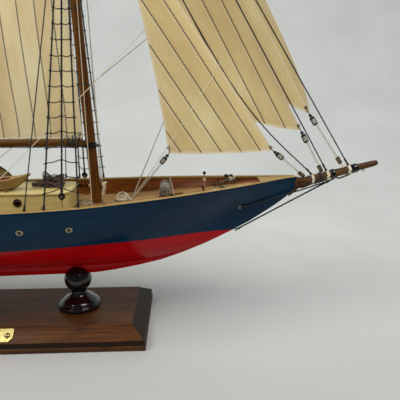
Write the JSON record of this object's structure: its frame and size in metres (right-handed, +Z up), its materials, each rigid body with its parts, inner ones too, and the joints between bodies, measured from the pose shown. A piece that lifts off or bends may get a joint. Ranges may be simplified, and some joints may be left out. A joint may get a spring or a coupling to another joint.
{
  "type": "gaff schooner display model",
  "caption": "Gaff schooner display model with cloth sails and full rigging, held on turned pedestals over a bevelled wooden board with a blank brass plate.",
  "frame": {"origin": "middle of the stand board's flat underside", "axes": "+X forward along the keel to the bow, +Y to port, +Z up the masts"},
  "size_m": [0.822, 0.1408, 0.64],
  "materials": {
    "navy": "gloss enamel",
    "walnut": "satin stain",
    "black": "gloss black lacquer",
    "brass": "polished",
    "cream": "satin",
    "deck": "satin",
    "pale": "satin",
    "mast": "satin stain",
    "sail": "woven cotton",
    "cord": "laid cord",
    "pewter": "worn cast metal",
    "dory": "painted",
    "strap": "satin black"
  },
  "bodies": {
    "model": {"base_board": "walnut", "pedestal_fore": "black", "pedestal_aft": "black", "nameplate": "brass", "nameplate_screw_fore": "brass", "nameplate_screw_aft": "brass", "hull": "navy", "deck": "deck", "caprail_starboard": "cream", "caprail_port": "cream", "caprail_stern": "cream", "bowsprit": "mast", "bowsprit_band_inner": "strap", "bowsprit_band_outer": "strap", "bobstay": "cord", "bowsprit_shroud_starboard": "cord", "bowsprit_shroud_port": "cord", "foremast": "mast", "fore_topmast": "mast", "fore_crosstrees": "mast", "fore_boom_collar": "strap", "mainmast": "mast", "main_topmast": "mast", "main_crosstrees": "mast", "main_boom_collar": "strap", "fore_staysail": "sail", "jib": "sail", "flying_jib": "sail", "fore_stay": "cord", "jib_stay": "cord", "flying_jib_stay": "cord", "spring_stay": "cord", "fore_shrouds_starboard": "cord", "main_shrouds_starboard": "cord", "fore_backstay_starboard": "cord", "main_backstay_starboard": "cord", "fore_shrouds_port": "cord", "main_shrouds_port": "cord", "fore_backstay_port": "cord", "main_backstay_port": "cord", "deckhouse": "pale", "deckhouse_roof": "pale", "main_hatch": "mast", "aft_cabin": "pale", "aft_cabin_roof": "pale", "dory_starboard": "dory", "dory_port": "dory", "windlass_bitts": "mast", "anchor_starboard": "pewter", "anchor_port": "pewter", "wheel_box": "mast"},
    "fore_boom_rig": {"fore_boom": "mast", "fore_gaff": "mast", "foresail": "sail"},
    "main_boom_rig": {"main_boom": "mast", "main_gaff": "mast", "mainsail": "sail"},
    "rudder": {"rudder": "navy"},
    "windlass_barrel": {"windlass_barrel": "pewter"},
    "steering_wheel": {"steering_wheel": "mast"}
  },
  "joints": [
    {"name": "fore_boom_swing", "type": "hinge", "parent": "model", "child": "fore_boom_rig", "pos_m": [0.12523, 0, 0.186], "axis": [-0.0454, 0, 0.999], "range_deg": [-24, 24]},
    {"name": "main_boom_swing", "type": "hinge", "parent": "model", "child": "main_boom_rig", "pos_m": [-0.07613, 0, 0.172], "axis": [-0.0454, 0, 0.999], "range_deg": [-20, 20]},
    {"name": "rudder_turn", "type": "hinge", "parent": "model", "child": "rudder", "pos_m": [-0.2222, 0, 0.07], "axis": [0, 0, 1], "range_deg": [-32, 32]},
    {"name": "windlass_turn", "type": "hinge", "parent": "model", "child": "windlass_barrel", "pos_m": [0.193, 0, 0.142], "axis": [0, 1, 0], "continuous": true},
    {"name": "wheel_turn", "type": "hinge", "parent": "model", "child": "steering_wheel", "pos_m": [-0.2995, 0, 0.1454], "axis": [1, 0, 0], "continuous": true}
  ]
}
